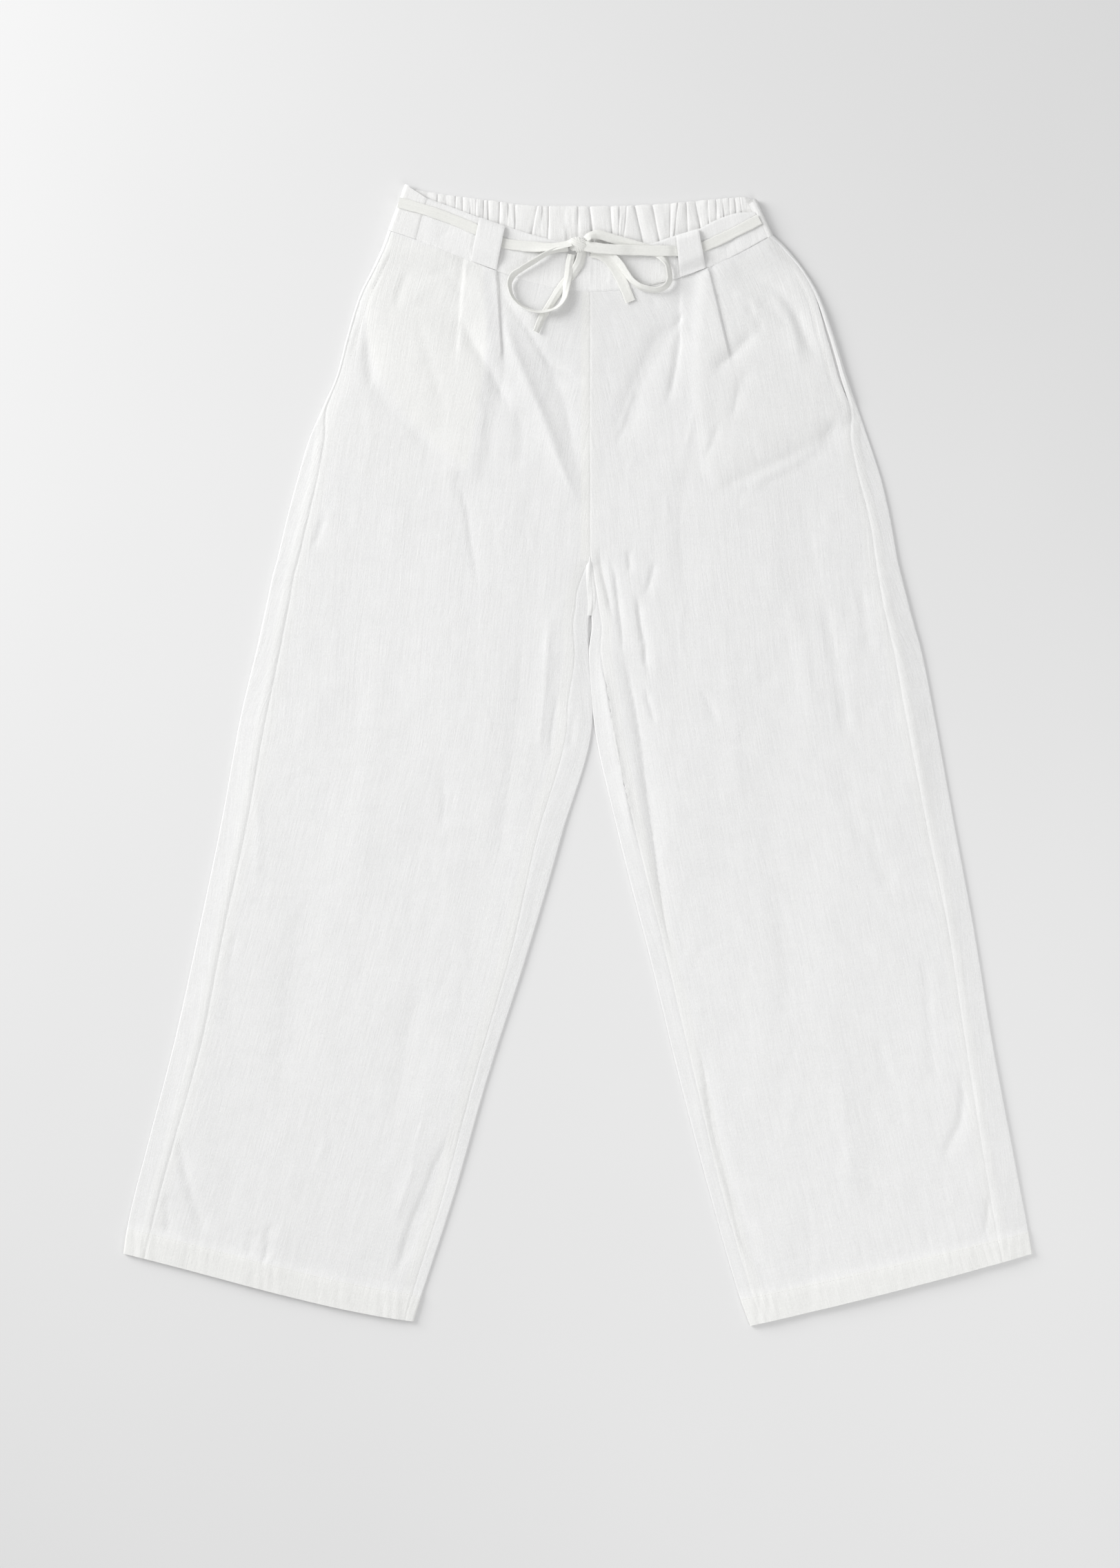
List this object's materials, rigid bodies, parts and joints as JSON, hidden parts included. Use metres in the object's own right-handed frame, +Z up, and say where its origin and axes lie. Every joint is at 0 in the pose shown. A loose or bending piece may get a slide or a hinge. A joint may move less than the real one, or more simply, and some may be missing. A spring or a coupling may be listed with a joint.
{
  "type": "elasticated trousers",
  "caption": "Wide-leg trousers laid flat, front up: flat front waistband with loops and a bow-tied belt, gathered elastic back waist, tucks, side pockets and turned hems.",
  "frame": {"origin": "centre of the bounding box, on the surface that the trousers lie on", "axes": "+Y from the hems to the waist, +X towards the wearer's left leg, +Z up out of the surface, front side up"},
  "size_m": [0.83, 1.041, 0.0175],
  "materials": {
    "linen": "plain-woven slubbed linen, washed, matte",
    "band_cloth": "the same linen over a facing, matte",
    "elastic_casing": "the same linen gathered on an elastic, matte",
    "tie_cloth": "narrow strip of the same linen, edges turned in, matte"
  },
  "bodies": {
    "root": {"front_leg_right": "linen", "front_leg_left": "linen", "back_leg_right": "linen", "back_leg_left": "linen", "pocket_bag_right": "linen", "pocket_bag_left": "linen", "waistband_front": "band_cloth", "belt_loop_right": "band_cloth", "belt_loop_left": "band_cloth", "waistband_back": "elastic_casing", "tie_strand_right": "tie_cloth", "tie_strand_left": "tie_cloth", "tie_knot": "tie_cloth", "tie_ear_right": "tie_cloth", "tie_ear_left": "tie_cloth", "tie_tail_right": "tie_cloth", "tie_tail_left": "tie_cloth"}
  },
  "joints": []
}
